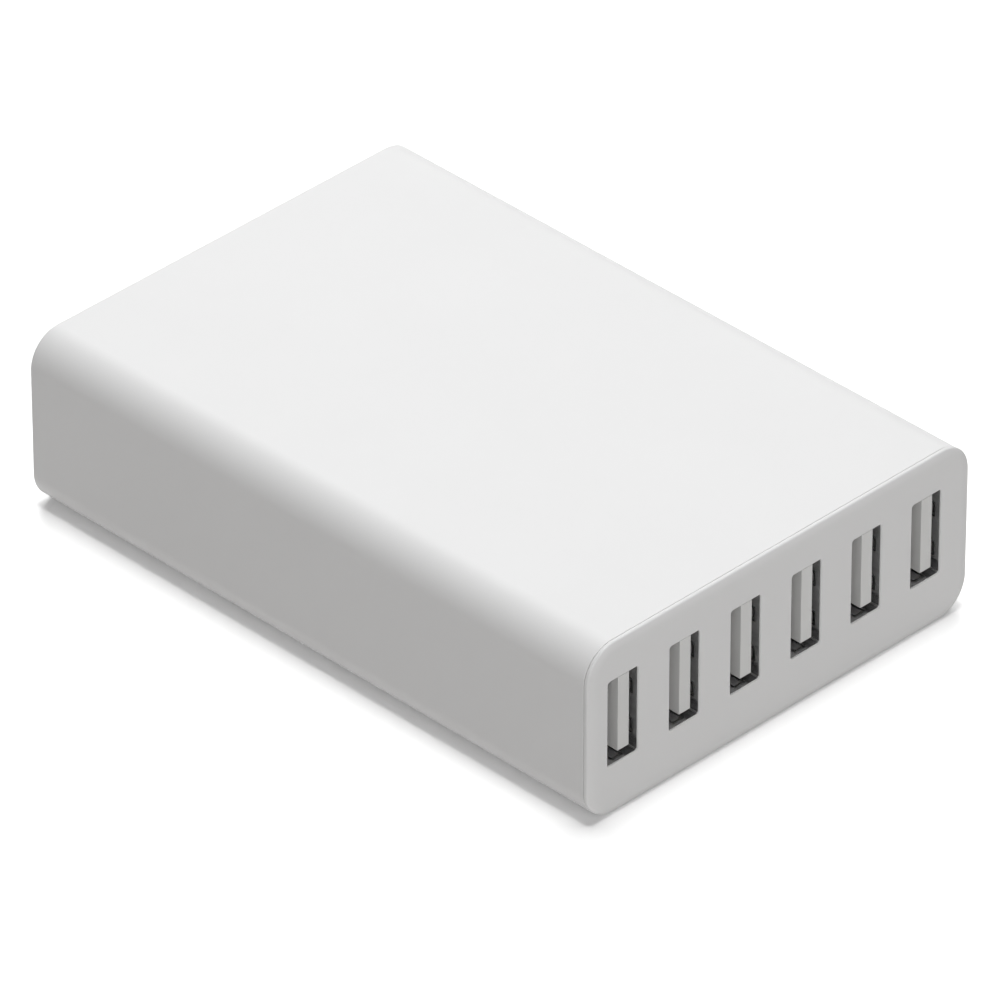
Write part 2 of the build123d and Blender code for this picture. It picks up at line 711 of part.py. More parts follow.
# Control chip, soldered flat on the board in front of the mains choke
choke_front_y = choke_y - choke_core_depth / 2 - choke_winding_thickness
controller_y = choke_front_y - controller_gap - controller_size[1] / 2
with BuildPart() as power_controller:
    with BuildSketch(Plane.XY.offset(board_top)):
        with Locations((-board_half + controller_from_left, controller_y)):
            Rectangle(controller_size[0], controller_size[1])
    extrude(amount=controller_size[2])
power_controller.part.label = "power_controller"
export_step(power_controller.part, "parts/power_controller.step")

# Transformer core: two ferrite halves with three legs each, end to end
transformer_x = -board_half + transformer_from_left
transformer_y = board_front_y + transformer_from_front
transformer_z = board_top + bobbin_height / 2
core_window = (core_width - core_leg - 2 * core_outer_leg) / 2
window_x = (core_leg + core_window) / 2
half_length = core_length / 2
for side, name in ((-1, "transformer_core_front"), (1, "transformer_core_rear")):
    with BuildPart() as core_half:
        with BuildSketch(Plane.XY.offset(transformer_z)):
            with Locations((transformer_x, transformer_y + side * half_length / 2)):
                Rectangle(core_width, half_length)
            window_y = transformer_y + side * (half_length - core_back) / 2
            with Locations((transformer_x - window_x, window_y), (transformer_x + window_x, window_y)):
                Rectangle(core_window, half_length - core_back, mode=Mode.SUBTRACT)
        extrude(amount=core_depth / 2, both=True)
    core_half.part.label = name
    export_step(core_half.part, f"parts/{name}.step")

# Bobbin: tube round the middle leg, with two upright flanges that stand on the board
spool_half = half_length - core_back - bobbin_clearance
spool_bore = (core_leg + 2 * bobbin_clearance, core_depth + 2 * bobbin_clearance)
spool_outer = (spool_bore[0] + 2 * bobbin_wall, spool_bore[1] + 2 * bobbin_wall)
flange_width = core_leg + 2 * core_window - 2 * bobbin_clearance
flange_ys = [transformer_y + s * (spool_half - bobbin_flange / 2) for s in (-1, 1)]
bobbin_leads = [(transformer_x + (i - 1) * bobbin_lead_pitch, y) for y in flange_ys for i in range(3)]
with BuildPart() as transformer_bobbin:
    with BuildSketch(across(transformer_y)):
        with Locations((transformer_x, transformer_z)):
            Rectangle(*spool_outer)
            Rectangle(*spool_bore, mode=Mode.SUBTRACT)
    extrude(amount=spool_half, both=True)
    for y in flange_ys:
        with BuildSketch(across(y)):
            with Locations((transformer_x, transformer_z)):
                Rectangle(flange_width, bobbin_height)
                Rectangle(*spool_bore, mode=Mode.SUBTRACT)
        extrude(amount=bobbin_flange / 2, both=True)
    with BuildSketch(Plane.XY.offset(board_top)):
        with Locations(*bobbin_leads):
            Rectangle(lead_width, lead_width)
    extrude(amount=-lead_length)
transformer_bobbin.part.label = "transformer_bobbin"
export_step(transformer_bobbin.part, "parts/transformer_bobbin.step")

# Winding with its tape wrap, between the flanges
winding_build = core_window - bobbin_clearance - bobbin_wall - winding_gap
with BuildPart() as transformer_winding:
    with BuildSketch(across(transformer_y)) as wrap:
        with Locations((transformer_x, transformer_z)):
            Rectangle(spool_outer[0] + 2 * winding_build, spool_outer[1] + 2 * winding_build)
            chamfer(wrap.vertices(), winding_bevel)
            Rectangle(*spool_outer, mode=Mode.SUBTRACT)
    extrude(amount=spool_half - bobbin_flange, both=True)
transformer_winding.part.label = "transformer_winding"
export_step(transformer_winding.part, "parts/transformer_winding.step")

# Output capacitors: a row of flat moulded blocks, soldered on the board
output_y = board_front_y + output_capacitor_from_front
for number in range(1, output_capacitor_count + 1):
    x = board_half - output_capacitor_from_right - (number - 1) * output_capacitor_pitch
    with BuildPart() as output_capacitor:
        with BuildSketch(Plane.XY.offset(board_top)):
            with Locations((x, output_y)):
                Rectangle(output_capacitor_size[0], output_capacitor_size[1])
        extrude(amount=output_capacitor_size[2])
    output_capacitor.part.label = f"output_capacitor_{number}"
    export_step(output_capacitor.part, f"parts/output_capacitor_{number}.step")

# Output choke: moulded block soldered flat on the board
with BuildPart() as output_choke:
    output_choke_place = (board_half - output_choke_from_right, board_front_y + output_choke_from_front)
    with BuildSketch(Plane.XY.offset(board_top)) as choke_outline:
        with Locations(output_choke_place):
            Rectangle(output_choke_size[0], output_choke_size[1])
        chamfer(choke_outline.vertices(), output_choke_bevel)
    extrude(amount=output_choke_size[2])
output_choke.part.label = "output_choke"
export_step(output_choke.part, "parts/output_choke.step")

# Optocoupler: flat package across the isolation gap, soldered on the board
coupler_y = board_front_y + coupler_from_front
with BuildPart() as optocoupler:
    with BuildSketch(Plane.XY.offset(board_top)):
        with Locations((-board_half + coupler_from_left, coupler_y)):
            Rectangle(coupler_size[0], coupler_size[1])
    extrude(amount=coupler_size[2])
optocoupler.part.label = "optocoupler"
export_step(optocoupler.part, "parts/optocoupler.step")

# Safety capacitor: moulded box across the isolation gap, soldered on the board
y_capacitor_x = -board_half + y_capacitor_from_left
with BuildPart() as y_capacitor:
    with BuildSketch(Plane.XY.offset(board_top)):
        with Locations((y_capacitor_x, coupler_y)):
            Rectangle(y_capacitor_size[0], y_capacitor_size[1])
    extrude(amount=y_capacitor_size[2])
    chamfer(y_capacitor.faces().sort_by(Axis.Z)[-1].edges(), y_capacitor_bevel)
y_capacitor.part.label = "y_capacitor"
export_step(y_capacitor.part, "parts/y_capacitor.step")

# Main board: lies in the rails, with tabs into the port board and a hole for every lead
all_leads = (
    fuse_leads
    + x_capacitor_leads
    + choke_leads
    + bridge_leads
    + bulk_leads
    + plate_leads
    + package_leads
    + bobbin_leads
)
with BuildPart() as main_board:
    with BuildSketch(Plane.XY.offset(board_z)):
        with Locations((0, (board_front_y + board_rear_y) / 2)):
            Rectangle(2 * board_half, board_rear_y - board_front_y)
        with Locations(*[(x, board_front_y - port_board_thickness / 2) for x in tab_xs]):
            Rectangle(tab_width, port_board_thickness)
        with Locations(*all_leads):
            Rectangle(lead_hole, lead_hole, mode=Mode.SUBTRACT)
        with Locations(*[(x, tail_y) for x in pin_xs]):
            Rectangle(
                inlet_tail_width + 2 * lead_clearance,
                inlet_tail_thickness + 2 * lead_clearance,
                mode=Mode.SUBTRACT,
            )
    extrude(amount=board_thickness)
main_board.part.label = "main_board"
export_step(main_board.part, "parts/main_board.step")
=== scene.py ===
import json
import math

import bmesh
import bpy
from mathutils import Euler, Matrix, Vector


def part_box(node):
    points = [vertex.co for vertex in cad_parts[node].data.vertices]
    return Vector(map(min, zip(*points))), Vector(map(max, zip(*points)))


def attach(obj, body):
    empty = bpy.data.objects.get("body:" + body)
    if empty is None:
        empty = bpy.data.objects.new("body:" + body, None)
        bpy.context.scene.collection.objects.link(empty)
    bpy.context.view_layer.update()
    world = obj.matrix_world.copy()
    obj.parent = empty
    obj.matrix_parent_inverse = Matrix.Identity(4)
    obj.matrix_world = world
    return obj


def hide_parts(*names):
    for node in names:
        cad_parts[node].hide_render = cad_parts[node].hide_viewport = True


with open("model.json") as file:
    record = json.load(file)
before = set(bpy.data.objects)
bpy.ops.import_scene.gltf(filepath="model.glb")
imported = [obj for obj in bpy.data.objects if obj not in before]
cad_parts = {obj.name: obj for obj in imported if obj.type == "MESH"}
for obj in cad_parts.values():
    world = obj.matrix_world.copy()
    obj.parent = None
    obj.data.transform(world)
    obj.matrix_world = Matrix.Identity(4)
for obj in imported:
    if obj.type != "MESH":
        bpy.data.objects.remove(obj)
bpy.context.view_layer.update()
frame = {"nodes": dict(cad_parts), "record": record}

# Sizes of the charger's visible pieces, in metres
MM = 0.001
PORTS = range(1, 7)
PADS = range(1, 5)
BEYOND = 2.0 * MM
WELD_SINK = 0.2 * MM

SLEEVE_CORNER = 4.8 * MM
SLEEVE_WALL = 1.8 * MM
SLEEVE_REAR_WALL = 2.2 * MM
SLEEVE_MOUTH_REACH = 0.3 * MM
SLEEVE_MOUTH_ROUND = 0.08 * MM
SLEEVE_REAR_ROUND = 0.25 * MM
RAIL_START = 14.2 * MM
RAIL_LEVELS = (4.3 * MM, 7.25 * MM)
RAIL_DEPTH = 1.6 * MM
RAIL_THICKNESS = 1.2 * MM

PLATE_GROW = 0.28 * MM
PLATE_TOP_RISE = 0.08 * MM
PLATE_CORNER = 4.78 * MM
PLATE_CROWN_RADIUS = 3.4 * MM
PLATE_CROWN_ANGLE = 28.0
PLATE_CROWN_STEPS = 8
PLATE_EDGE_ROUND = 0.16 * MM
SEAM_DEPTH = 0.5 * MM
SEAM_GAP = 0.12 * MM
SPIGOT_STEP = 1.48 * MM
SPIGOT_DEPTH = 1.95 * MM
OPENING_MARGIN = 0.03 * MM
OPENING_CORNER = 0.4 * MM
OPENING_EDGE = 0.1 * MM
PLATE_LIP = 0.25 * MM
POCKET_PLAY = (1.4 * MM, 0.8 * MM)
ARM_WIDTH = 4.0 * MM
ARM_THICKNESS = 1.2 * MM
ARM_LENGTH = 3.0 * MM
ARM_ROOT = 0.5 * MM
HOOK_LENGTH = 1.6 * MM
HOOK_RISE = 0.45 * MM
HOOK_SINK = 0.4 * MM

SHELL_WALL = 0.2 * MM
SHELL_LEFT_IN = 0.25 * MM
SHELL_RIGHT_OUT = 0.2 * MM
SHELL_TOP_IN = 0.28 * MM
SHELL_BOTTOM_OUT = 0.18 * MM
SHELL_LENGTH = 13.6 * MM
SHELL_CORNER = 0.62 * MM
FINGER_FRONT = 0.7 * MM
FINGER_SLIT = 0.4 * MM
FINGER_LENGTH = 6.0 * MM
FINGER_WIDTH = 1.45 * MM
FINGER_OFFSET = 2.95 * MM
FINGER_DROP = 0.4 * MM
FINGER_STUB = 0.3 * MM
FINGER_ROUND = 0.15 * MM
# Steps of a side finger from its root, into the bore and forward, in millimetres
FINGER_BENDS = (
    (0.02, 1.2), (0.05, 0.8), (0.07, 0.8), (0.05, 0.8),
    (0.0, 0.6), (-0.05, 0.5), (-0.07, 0.5), (-0.07, 0.5),
)
END_FINGER_FRONT = 0.45 * MM
END_FINGER_WIDTH = 1.3 * MM
END_FINGER_ROUND = 0.2 * MM
# Steps of an end finger: share of its run, and way into the bore in millimetres
END_FINGER_BENDS = ((0.4, 0.01), (0.3, 0.01), (0.15, 0.0), (0.15, -0.01))
LEG_WIDTH = 1.6 * MM
LEG_LENGTH = 2.8 * MM

TONGUE_LEFT = -0.01 * MM
TONGUE_RIGHT = 1.93 * MM
TONGUE_BOTTOM = -5.55 * MM
TONGUE_TOP = 5.45 * MM
TONGUE_EDGE = 0.08 * MM
TONGUE_SINK = 0.5 * MM
BLOCK_LENGTH = 4.4 * MM
BLOCK_CORNER = 0.4 * MM
STRIP_LEVELS = (-3.5 * MM, -1.0 * MM, 1.0 * MM, 3.5 * MM)
STRIP_WIDTH = 1.0 * MM
STRIP_THICKNESS = 0.25 * MM
STRIP_PLAY = 0.05 * MM
STRIP_ROUND = 0.25 * MM
STRIP_STEP = 0.3 * MM
# Sideways steps of a contact's bulge, in millimetres
STRIP_BULGE = (-0.13, -0.11, -0.08, -0.03, 0.03, 0.08, 0.11, 0.13)
CHANNEL_START = 0.2 * MM

INLET_HALF_PITCH = 4.3 * MM
INLET_LOBE = 4.2 * MM
INLET_HALF_WAIST = 3.2 * MM
INLET_SKIN = 1.3 * MM
INLET_PLAY = 0.12 * MM
INLET_DEPTH = 12.0 * MM
INLET_LEVEL = 13.0 * MM
INLET_EDGE = 0.3 * MM
COLLAR_SINK = 1.0 * MM
STADIUM_STEPS = 20
STADIUM_FLAT = 0.05 * MM
PRONG_RADIUS = 1.2 * MM
PRONG_REACH = 9.0 * MM
PRONG_ROUND = 0.7 * MM
PRONG_SHANK = 0.8 * MM
SHANK_PLAY = 0.05 * MM
SHANK_SINK = 0.5 * MM
TAIL_HALF_WIDTH = 0.7 * MM
TAIL_THICKNESS = 0.8 * MM

PAD_CORNER = 1.3 * MM
PAD_EDGE = 0.12 * MM
PAD_PLAY = 0.1 * MM

CORNER_STEPS = 24

# Limits for choosing faces, edges and points
SQUARE_ON = 0.9
EDGE_ON = 0.1
PARALLEL = 0.999
SAME_PLACE = 0.001 * MM
EDGE_MARGIN = 0.1 * MM
FLAT_ANGLE = 0.05


# Working by hand: picking up pieces, choosing edges and faces, rounding and cutting
def clear_bench():
    """Object mode with nothing selected."""
    if bpy.context.mode != "OBJECT":
        bpy.ops.object.mode_set(mode="OBJECT")
    bpy.ops.object.select_all(action="DESELECT")


def take(piece):
    """Makes a piece the only one selected, and the active one."""
    clear_bench()
    piece.select_set(True)
    bpy.context.view_layer.objects.active = piece


def shape(piece):
    """Takes a piece into edit mode."""
    take(piece)
    bpy.ops.object.mode_set(mode="EDIT")


def block(name, low, high):
    """A cuboid between two corners, to be shaped further, with its place in its mesh."""
    low, high = Vector(low), Vector(high)
    clear_bench()
    bpy.ops.mesh.primitive_cube_add(size=1, location=(low + high) / 2)
    piece = bpy.context.object
    piece.name = name
    piece.scale = high - low
    bpy.ops.object.transform_apply(location=True, rotation=True, scale=True)
    return piece


def rod(name, start, radius, length, sides=64):
    """A round bar that runs from a point along +Y."""
    clear_bench()
    middle = Vector(start) + Vector((0, length / 2, 0))
    bpy.ops.mesh.primitive_cylinder_add(
        vertices=sides, radius=radius, depth=length, location=middle, rotation=(math.pi / 2, 0, 0)
    )
    piece = bpy.context.object
    piece.name = name
    bpy.ops.object.transform_apply(location=True, rotation=True, scale=True)
    return piece


def choose(kind, test):
    """Selects the edges or faces of the piece in hand that pass a test."""
    bpy.ops.mesh.select_mode(type=kind)
    bpy.ops.mesh.select_all(action="DESELECT")
    mesh = bmesh.from_edit_mesh(bpy.context.object.data)
    for part in mesh.edges if kind == "EDGE" else mesh.faces:
        if test(part):
            part.select_set(True)
    bmesh.update_edit_mesh(bpy.context.object.data)


def runs_along(axis):
    """Test for edges parallel to an axis, 0 to 2."""
    def test(edge):
        span = edge.verts[1].co - edge.verts[0].co
        return abs(span[axis]) > PARALLEL * span.length
    return test


def lies_at(axis, place, extra=None):
    """Test for edges that lie in the plane at a place on an axis."""
    def test(edge):
        flat = all(abs(vert.co[axis] - place) < SAME_PLACE for vert in edge.verts)
        return flat and (extra is None or extra(edge))
    return test


def faces_front(face):
    """Test for faces that look along -Y."""
    return face.normal.y < -SQUARE_ON


def faces_rear(face):
    """Test for faces that look along +Y."""
    return face.normal.y > SQUARE_ON


def borders_wall(edge):
    """Test for edges next to a wall that runs along Y."""
    return any(abs(face.normal.y) < EDGE_ON for face in edge.link_faces)


def round_edges(test, radius, steps):
    """Rounds the chosen edges of the piece in hand."""
    choose("EDGE", test)
    bpy.ops.mesh.bevel(
        offset_type="OFFSET",
        offset=radius,
        segments=steps,
        profile=0.5,
        affect="EDGES",
        clamp_overlap=False,
    )


def push(x, y, z):
    """Extrudes the chosen faces by a step."""
    bpy.ops.mesh.extrude_region_move(TRANSFORM_OT_translate={"value": (x, y, z)})


def combine(piece, other, operation):
    """Cuts a second piece out of the first or melts it into the first."""
    take(piece)
    joint = piece.modifiers.new("joint", "BOOLEAN")
    joint.operation = operation
    joint.solver = "EXACT"
    joint.object = other
    bpy.ops.object.modifier_apply(modifier=joint.name)
    bpy.data.objects.remove(other)


def cut(piece, *tools):
    for tool in tools:
        combine(piece, tool, "DIFFERENCE")


def weld(piece, *others):
    for other in others:
        combine(piece, other, "UNION")


def rounded_block(name, low, high, axis, radius, steps=6):
    """A cuboid with its four edges along one axis rounded."""
    piece = block(name, low, high)
    shape(piece)
    round_edges(runs_along(axis), radius, steps)
    bpy.ops.mesh.remove_doubles(threshold=SAME_PLACE / 10)
    clear_bench()
    return piece


def tidy_mesh(piece):
    """Merges doubled points and clears slivers and needless edges that the cuts left."""
    shape(piece)
    bpy.ops.mesh.select_all(action="SELECT")
    bpy.ops.mesh.remove_doubles(threshold=SAME_PLACE)
    bpy.ops.mesh.dissolve_degenerate(threshold=SAME_PLACE)
    bpy.ops.mesh.dissolve_limited(angle_limit=math.radians(FLAT_ANGLE))
    clear_bench()


def even_shading(piece, degrees=35):
    """Smooth rounds next to truly flat faces."""
    tidy_mesh(piece)
    take(piece)
    bpy.ops.object.shade_smooth_by_angle(angle=math.radians(degrees))
    evened = piece.modifiers.new("evened", "WEIGHTED_NORMAL")
    evened.keep_sharp = True
    evened.weight = 100
    bpy.ops.object.modifier_apply(modifier=evened.name)
    clear_bench()


def copy_along(piece, name, step):
    """A copy with its own mesh, moved sideways."""
    take(piece)
    bpy.ops.object.duplicate(linked=False)
    twin = bpy.context.object
    twin.name = name
    bpy.ops.transform.translate(value=(step, 0, 0))
    bpy.ops.object.transform_apply(location=True, rotation=True, scale=True)
    clear_bench()
    return twin


def settle(piece, node):
    """Puts a finished piece on the frame in place of its CAD node."""
    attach(piece, "root")
    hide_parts(node)


# Housing: rounded sleeve with a hollow, a mouth for the front plate and seats for the inlet and the pads
def make_sleeve():
    low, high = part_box("housing")
    low.y -= SLEEVE_MOUTH_REACH
    sleeve = block("sleeve", low, high)
    shape(sleeve)
    round_edges(runs_along(1), SLEEVE_CORNER, CORNER_STEPS)
    choose("FACE", faces_front)
    bpy.ops.mesh.inset(thickness=SLEEVE_WALL)
    push(0, high.y - SLEEVE_REAR_WALL - low.y, 0)
    middle = (low + high) / 2

    def outer(edge):
        out = [face for face in edge.link_faces if abs(face.normal.y) < EDGE_ON]
        return any(face.normal.dot(face.calc_center_median() - middle) > 0 for face in out)

    round_edges(lies_at(1, high.y), SLEEVE_REAR_ROUND, 6)
    round_edges(lies_at(1, low.y, outer), SLEEVE_MOUTH_ROUND, 4)
    clear_bench()

    rails = []
    for side in (-1, 1):
        for level in RAIL_LEVELS:
            outer_x = side * (high.x - SLEEVE_WALL + WELD_SINK)
            inner_x = side * (high.x - SLEEVE_WALL - RAIL_DEPTH)
            rails.append(block(
                "rail",
                (min(outer_x, inner_x), low.y + RAIL_START, level),
                (max(outer_x, inner_x), high.y - SLEEVE_REAR_WALL + WELD_SINK, level + RAIL_THICKNESS),
            ))
    weld(sleeve, *rails)

    half_width = INLET_HALF_PITCH + INLET_LOBE + INLET_SKIN + INLET_PLAY
    half_height = INLET_LOBE + INLET_SKIN + INLET_PLAY
    slot = rounded_block(
        "slot",
        (-half_width, high.y - SLEEVE_REAR_WALL - BEYOND, INLET_LEVEL - half_height),
        (half_width, high.y + BEYOND, INLET_LEVEL + half_height),
        1, half_height - STADIUM_FLAT, STADIUM_STEPS,
    )
    seats = []
    for n in PADS:
        pad_low, pad_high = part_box(f"foot_{n}")
        play = Vector((PAD_PLAY, PAD_PLAY, 0))
        seats.append(rounded_block("seat", pad_low - play, pad_high + play, 2, PAD_CORNER + PAD_PLAY))
    cut(sleeve, slot, *seats)

    shape(sleeve)

    def slot_mouth(edge):
        inside = all(
            abs(vert.co.x) < half_width + EDGE_MARGIN
            and abs(vert.co.z - INLET_LEVEL) < half_height + EDGE_MARGIN
            for vert in edge.verts
        )
        return inside and borders_wall(edge)

    round_edges(lies_at(1, high.y, slot_mouth), INLET_EDGE, 3)
    even_shading(sleeve)
    settle(sleeve, "housing")


# Front plate: rounded rim, neck in the shadow gap, spigot with snap arms, six socket openings
def make_front_plate():
    low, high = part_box("front_panel")
    grow = Vector((PLATE_GROW, 0, PLATE_GROW))
    low, high = low - grow, high + grow
    high.z += PLATE_TOP_RISE
    rim_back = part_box("housing")[0].y - SLEEVE_MOUTH_REACH - SEAM_GAP
    crown = math.radians(PLATE_CROWN_ANGLE)
    angles = [crown * n / PLATE_CROWN_STEPS for n in range(PLATE_CROWN_STEPS, -1, -1)]
    rim_front = low.y + PLATE_CROWN_RADIUS * (1 - math.cos(angles[0]))
    plate = block("front_plate", (low.x, rim_front, low.z), (high.x, rim_back, high.z))
    shape(plate)
    round_edges(runs_along(1), PLATE_CORNER, CORNER_STEPS)
    choose("FACE", faces_front)
    for steep, gentle in zip(angles, angles[1:]):
        bpy.ops.mesh.inset(
            thickness=PLATE_CROWN_RADIUS * (math.sin(steep) - math.sin(gentle)),
            depth=PLATE_CROWN_RADIUS * (math.cos(gentle) - math.cos(steep)),
        )
    round_edges(lies_at(1, rim_front), PLATE_EDGE_ROUND, 4)
    choose("FACE", faces_rear)
    bpy.ops.mesh.inset(thickness=SEAM_DEPTH)
    push(0, SEAM_GAP, 0)
    bpy.ops.mesh.inset(thickness=SPIGOT_STEP)
    push(0, SPIGOT_DEPTH, 0)
    clear_bench()

    spigot_y = rim_back + SEAM_GAP + SPIGOT_DEPTH
    inset = SEAM_DEPTH + SPIGOT_STEP
    arms = []
    for a, b in ((1, 2), (5, 6)):
        x = (port_axis(a).x + port_axis(b).x) / 2
        for side, face_z in ((-1, low.z + inset), (1, high.z - inset)):
            edges_z = sorted((face_z, face_z - side * ARM_THICKNESS))
            end_y = spigot_y + ARM_LENGTH
            arms.append(block(
                "arm",
                (x - ARM_WIDTH / 2, spigot_y - ARM_ROOT, edges_z[0]),
                (x + ARM_WIDTH / 2, end_y, edges_z[1]),
            ))
            tip_z = face_z + side * HOOK_RISE
            edges_z = sorted((face_z - side * HOOK_SINK, tip_z))
            hook = block(
                "hook",
                (x - ARM_WIDTH / 2, end_y - HOOK_LENGTH, edges_z[0]),
                (x + ARM_WIDTH / 2, end_y, edges_z[1]),
            )
            shape(hook)
            choose("EDGE", lies_at(2, tip_z, lies_at(1, end_y)))
            bpy.ops.transform.translate(value=(0, 0, -side * HOOK_RISE))
            clear_bench()
            arms.append(hook)
    weld(plate, *arms)

    openings = []
    for n in PORTS:
        shell_low, shell_high = shell_box(n)
        bore = Vector((SHELL_WALL - OPENING_MARGIN, 0, SHELL_WALL - OPENING_MARGIN))
        first, last = shell_low + bore, shell_high - bore
        openings.append(rounded_block(
            "opening",
            (first.x, low.y - BEYOND, first.z),
            (last.x, spigot_y + BEYOND, last.z),
            1, OPENING_CORNER, 4,
        ))
        play = Vector((POCKET_PLAY[0], 0, POCKET_PLAY[1]))
        first, last = shell_low - play, shell_high + play
        openings.append(rounded_block(
            "pocket",
            (first.x, low.y + PLATE_LIP, first.z),
            (last.x, spigot_y + BEYOND, last.z),
            1, SHELL_CORNER, 4,
        ))
    cut(plate, *openings)

    shape(plate)
    round_edges(lies_at(1, low.y, borders_wall), OPENING_EDGE, 3)
    even_shading(plate)
    settle(plate, "front_panel")


def port_axis(n):
    """Middle of a socket's shell."""
    low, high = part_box(f"usb_shell_{n}")
    return (low + high) / 2


def shell_box(n):
    """Corners of a socket's shell, which stands a little further right and lower than its node."""
    low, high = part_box(f"usb_shell_{n}")
    low.x += SHELL_LEFT_IN
    high.x += SHELL_RIGHT_OUT
    high.z -= SHELL_TOP_IN
    low.z -= SHELL_BOTTOM_OUT
    return low, high


# Socket shell: thin folded tube, slit to leave sprung fingers that dip into the bore
def bent_strip(name, low, high, steps):
    """A strip that starts as a short block and grows from its -Y end by sideways and forward steps."""
    strip = block(name, low, high)
    shape(strip)
    choose("FACE", faces_front)
    for x, y, z in steps:
        push(x, -y, z)
    clear_bench()
    return strip


def make_shell():
    low, high = shell_box(1)
    axis = port_axis(1)
    back = low.y + SHELL_LENGTH
    shell = block("socket_shell_1", low, (high.x, back, high.z))
    shape(shell)
    round_edges(runs_along(1), SHELL_CORNER, 6)
    choose("FACE", lambda face: faces_front(face) or faces_rear(face))
    bpy.ops.mesh.delete(type="FACE")
    clear_bench()
    take(shell)
    fold = shell.modifiers.new("fold", "SOLIDIFY")
    fold.thickness = SHELL_WALL
    fold.offset = -1
    fold.use_even_offset = True
    bpy.ops.object.modifier_apply(modifier=fold.name)

    tip = low.y + FINGER_FRONT + FINGER_SLIT
    root = tip + FINGER_LENGTH
    half = FINGER_WIDTH / 2 + FINGER_SLIT
    windows = []
    for side in (-1, 1):
        z = axis.z - FINGER_DROP + side * FINGER_OFFSET
        windows.append(rounded_block(
            "window",
            (low.x - BEYOND, tip - FINGER_SLIT, z - half),
            (high.x + BEYOND, root, z + half),
            0, FINGER_ROUND, 4,
        ))
    end_tip = low.y + END_FINGER_FRONT + FINGER_SLIT
    half = END_FINGER_WIDTH / 2 + FINGER_SLIT
    windows.append(rounded_block(
        "window",
        (axis.x - half, end_tip - FINGER_SLIT, low.z - BEYOND),
        (axis.x + half, root, high.z + BEYOND),
        2, END_FINGER_ROUND, 4,
    ))
    cut(shell, *windows)

    pieces = []
    for side in (-1, 1):
        wall_x = (low.x, low.x + SHELL_WALL) if side < 0 else (high.x - SHELL_WALL, high.x)
        for level in (-1, 1):
            z = axis.z - FINGER_DROP + level * FINGER_OFFSET
            finger = bent_strip(
                "finger",
                (wall_x[0], root - FINGER_STUB, z - FINGER_WIDTH / 2),
                (wall_x[1], root + WELD_SINK, z + FINGER_WIDTH / 2),
                [(-side * x * MM, y * MM, 0) for x, y in FINGER_BENDS],
            )
            shape(finger)
            round_edges(lies_at(1, tip, runs_along(0)), FINGER_ROUND, 4)
            clear_bench()
            pieces.append(finger)
        wall_z = (low.z, low.z + SHELL_WALL) if side < 0 else (high.z - SHELL_WALL, high.z)
        run = root - FINGER_STUB - end_tip
        finger = bent_strip(
            "finger",
            (axis.x - END_FINGER_WIDTH / 2, root - FINGER_STUB, wall_z[0]),
            (axis.x + END_FINGER_WIDTH / 2, root + WELD_SINK, wall_z[1]),
            [(0, run * share, -side * dip * MM) for share, dip in END_FINGER_BENDS],
        )
        shape(finger)
        round_edges(lies_at(1, end_tip, runs_along(2)), END_FINGER_ROUND, 4)
        clear_bench()
        pieces.append(finger)
        pieces.append(block(
            "leg",
            (axis.x - LEG_WIDTH / 2, back - WELD_SINK, wall_z[0]),
            (axis.x + LEG_WIDTH / 2, back + LEG_LENGTH, wall_z[1]),
        ))
    weld(shell, *pieces)
    even_shading(shell)
    return shell


# Socket block with its tongue, and the contact strips that lie in the tongue's channels
def make_tongue():
    low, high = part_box("usb_insulator_1")
    axis = port_axis(1)
    block_front = high.y - BLOCK_LENGTH
    body = rounded_block("socket_tongue_1", (low.x, block_front, low.z), high, 1, BLOCK_CORNER, 4)
    tongue = block(
        "tongue",
        (axis.x + TONGUE_LEFT, low.y, axis.z + TONGUE_BOTTOM),
        (axis.x + TONGUE_RIGHT, block_front + TONGUE_SINK, axis.z + TONGUE_TOP),
    )
    shape(tongue)
    round_edges(lies_at(1, low.y), TONGUE_EDGE, 2)
    clear_bench()
    weld(body, tongue)
    strips_low, strips_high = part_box("usb_contacts_1")
    channel_x = axis.x + TONGUE_LEFT - CHANNEL_START
    half = STRIP_WIDTH / 2 + STRIP_PLAY
    channels = [
        block(
            "channel",
            (channel_x, strips_low.y - STRIP_PLAY, axis.z + z - half),
            (strips_high.x, high.y + BEYOND, axis.z + z + half),
        )
        for z in STRIP_LEVELS
    ]
    cut(body, *channels)
    even_shading(body)
    return body


def make_strips():
    low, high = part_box("usb_contacts_1")
    axis = port_axis(1)
    bulge_end = low.y + len(STRIP_BULGE) * STRIP_STEP
    made = []
    for z in STRIP_LEVELS:
        strip = block(
            "strip",
            (high.x - STRIP_THICKNESS, bulge_end, axis.z + z - STRIP_WIDTH / 2),
            (high.x, high.y, axis.z + z + STRIP_WIDTH / 2),
        )
        shape(strip)
        choose("FACE", faces_front)
        for x in STRIP_BULGE:
            push(x * MM, -STRIP_STEP, 0)
        round_edges(lies_at(1, low.y, runs_along(0)), STRIP_ROUND, 3)
        clear_bench()
        made.append(strip)
    for strip in made:
        strip.select_set(True)
    bpy.context.view_layer.objects.active = made[0]
    bpy.ops.object.join()
    made[0].name = "socket_strips_1"
    even_shading(made[0])
    return made[0]


def make_sockets():
    makers = (
        (make_shell, "socket_shell", "usb_shell", "socket_steel"),
        (make_tongue, "socket_tongue", "usb_insulator", "socket_plastic"),
        (make_strips, "socket_strips", "usb_contacts", "contact_metal"),
    )
    for make, name, node, slot in makers:
        first = make()
        for n in PORTS:
            step = port_axis(n).x - port_axis(1).x
            piece = first if n == 1 else copy_along(first, f"{name}_{n}", step)
            settle(piece, f"{node}_{n}")


